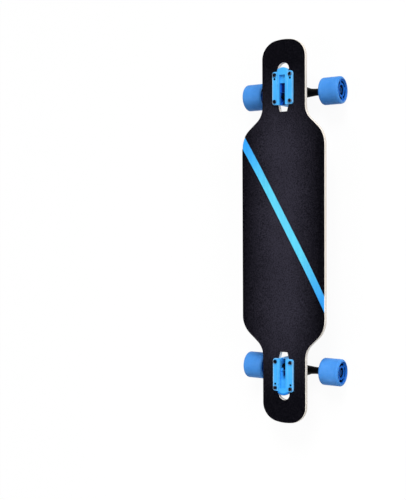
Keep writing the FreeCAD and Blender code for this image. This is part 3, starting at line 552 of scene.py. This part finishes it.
def add_ring(mesh, centre, axis, inner, outer, height):
    """A low ring with eased edges, standing on a nut's end."""
    ease = height * COLLAR_EASE
    profile = ((inner, 0), (outer, 0), (outer, height - ease), (outer - ease, height),
               (inner + ease / 2, height), (inner, height - ease / 2))
    turn = Vector(axis).to_track_quat("Z", "Y").to_matrix().to_4x4()
    place = Matrix.Translation(centre) @ turn
    rows = []
    for step in range(COLLAR_STEPS):
        angle = 2 * math.pi * step / COLLAR_STEPS
        across, along = math.cos(angle), math.sin(angle)
        rows.append([mesh.verts.new(place @ Vector((radius * across, radius * along, rise)))
                     for radius, rise in profile])
    for row, following in zip(rows, rows[1:] + rows[:1]):
        for low in range(len(profile)):
            high = (low + 1) % len(profile)
            mesh.faces.new((row[low], following[low], following[high], row[high]))


def collars(name, body, material, rings):
    mesh = bmesh.new()
    for ring in rings:
        add_ring(mesh, *ring)
    for face in mesh.faces:
        face.smooth = True
    data = bpy.data.meshes.new(name)
    mesh.to_mesh(data)
    mesh.free()
    piece = bpy.data.objects.new(name, data)
    bpy.context.collection.objects.link(piece)
    data.materials.append(material)
    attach(piece, body)


def make_collars():
    nylon = rubbery("nut_nylon", linear(26, 58, 108), linear(42, 84, 146), gloss=0.06)
    out = Vector((math.cos(TIP), 0, -math.sin(TIP)))
    spot = Vector((RING_X, 0, RING_Z)) + out * KINGPIN_NUT_END
    for end, sign in ENDS:
        bolts = [((sign * x, hand * BOLT_Y, MOUNTING_NUT_END), (0, 0, -1),
                  BOLT_RADIUS, *MOUNTING_COLLAR) for x in BOLT_X for _, hand in HANDS]
        collars(f"{end}_mounting_collars", "board", nylon, bolts)
        kingpin = ((sign * spot.x, 0, spot.z), (sign * out.x, 0, out.z),
                   KINGPIN_RADIUS, *KINGPIN_COLLAR)
        collars(f"{end}_kingpin_collar", "board", nylon, [kingpin])
        axle = [((sign * AXLE_X, hand * AXLE_NUT_END, AXLE_Z), (0, hand, 0),
                 AXLE_RADIUS, *AXLE_COLLAR) for _, hand in HANDS]
        collars(f"{end}_axle_collars", f"{end}_truck", nylon, axle)


# Floor, light and camera

def seen(tree):
    """1 for rays that show the background to the camera, also in gloss and through glass."""
    rays = tree.nodes.new("ShaderNodeLightPath")
    total = rays.outputs["Is Camera Ray"]
    for kind in ("Is Glossy Ray", "Is Transmission Ray"):
        most = tree.nodes.new("ShaderNodeMath")
        most.operation = "MAXIMUM"
        tree.links.new(total, most.inputs[0])
        tree.links.new(rays.outputs[kind], most.inputs[1])
        total = most.outputs[0]
    return total


def make_floor():
    bpy.ops.mesh.primitive_plane_add(size=12)
    floor = bpy.context.object
    floor.name = "floor"
    m = Shader("floor_paper", Roughness=0.9, Specular_IOR_Level=0.0)
    show = seen(m.tree)
    paper = m.ramp(m.noise(scale=3, detail=2, rough=0.5), 0.2, 0.8, grey(0.96), grey(0.98))
    light_grey = grey(0.3)
    m.colour(m.mix(show, light_grey, paper))
    # white paper that keeps a light shadow near the part
    x, y, _ = m.split(m.object)
    near, far, near_share = 0.7, 1.6, 0.94
    white_share = m.span(m.reach(x, y), near, far, near_share, 1.0)
    glow = m.add("ShaderNodeEmission")
    lit = m.add("ShaderNodeMixShader")
    m.feed(lit.inputs[0], m.times(show, white_share))
    m.feed(lit.inputs[1], m.bsdf.outputs[0])
    m.feed(lit.inputs[2], glow.outputs[0])
    # clear when seen from below, and to shadow rays, so that the lamp underneath reaches the part
    clear = m.add("ShaderNodeBsdfTransparent")
    below = m.add("ShaderNodeNewGeometry").outputs["Backfacing"]
    to_lamp = m.add("ShaderNodeLightPath").outputs["Is Shadow Ray"]
    choose = m.add("ShaderNodeMixShader")
    m.feed(choose.inputs[0], m.most(below, to_lamp))
    m.feed(choose.inputs[1], lit.outputs[0])
    m.feed(choose.inputs[2], clear.outputs[0])
    output = [node for node in m.tree.nodes if node.type == "OUTPUT_MATERIAL"][0]
    m.feed(output.inputs["Surface"], choose.outputs[0])
    floor.data.materials.append(m.material)


def add_light(name, kind, place, target, power, **settings):
    data = bpy.data.lights.new(name, kind)
    data.energy = power
    for setting, value in settings.items():
        setattr(data, setting, value)
    light = bpy.data.objects.new(name, data)
    bpy.context.collection.objects.link(light)
    light.location = place
    light.rotation_euler = (Vector(target) - Vector(place)).to_track_quat("-Z", "Y").to_euler()


def make_light():
    world = bpy.data.worlds.new("studio")
    bpy.context.scene.world = world
    world.use_nodes = True
    tree = world.node_tree
    back = tree.nodes["Background"]
    back.inputs["Color"].default_value = WHITE
    # soft light all round, and plain white where the background shows
    all_round, shown = 0.22, 1.0
    level = tree.nodes.new("ShaderNodeMapRange")
    level.inputs["To Min"].default_value = all_round
    level.inputs["To Max"].default_value = shown
    tree.links.new(seen(tree), level.inputs["Value"])
    tree.links.new(level.outputs[0], back.inputs["Strength"])
    middle, rear_axle = (0, 0, 0.05), (-AXLE_X, 0, AXLE_Z)
    add_light("key", "SUN", (2.3, -0.45, 2.1), middle, 2.26, angle=0.45)
    add_light("fill", "AREA", (0.7, -2.5, 1.6), middle, 50, shape="DISK", size=2.0)
    add_light("under", "AREA", (0.3, -0.5, -1.6), middle, 30, shape="DISK", size=2.0)
    add_light("back", "AREA", (-1.3, 0.25, 0.42), rear_axle, 2.5, shape="DISK", size=0.6)
    add_light("sheen", "AREA", (0.0, 1.05, 2.05), middle, 8, shape="DISK", size=0.7)


def make_camera():
    """A camera over the deck's right side, with the nose at the top of the picture."""
    # focal length and picture height in pixels, angles in radians, sensor in millimetres
    focal_length, picture_height, sensor_height = 884.7, 500, 24
    yaw, pitch, roll, place = -0.575, 0.032, 0.005, (0.0264, -0.992, 1.9752)
    data = bpy.data.cameras.new("camera")
    data.sensor_fit = "VERTICAL"
    data.sensor_height = sensor_height
    data.lens = focal_length / picture_height * sensor_height
    camera = bpy.data.objects.new("camera", data)
    bpy.context.collection.objects.link(camera)
    level = Matrix(((0, -1, 0), (1, 0, 0), (0, 0, 1)))
    turn = Matrix(((math.cos(yaw), 0, math.sin(yaw)),
                   (0, 1, 0),
                   (-math.sin(yaw), 0, math.cos(yaw))))
    tip = Matrix(((1, 0, 0),
                  (0, math.cos(pitch), -math.sin(pitch)),
                  (0, math.sin(pitch), math.cos(pitch))))
    lean = Matrix(((math.cos(roll), -math.sin(roll), 0),
                   (math.sin(roll), math.cos(roll), 0),
                   (0, 0, 1)))
    camera.matrix_world = (lean @ tip @ turn @ level).transposed().to_4x4()
    camera.location = place
    bpy.context.scene.camera = camera


dress_all()
make_collars()
make_floor()
make_light()
make_camera()
bpy.context.scene.view_settings.view_transform = "Standard"
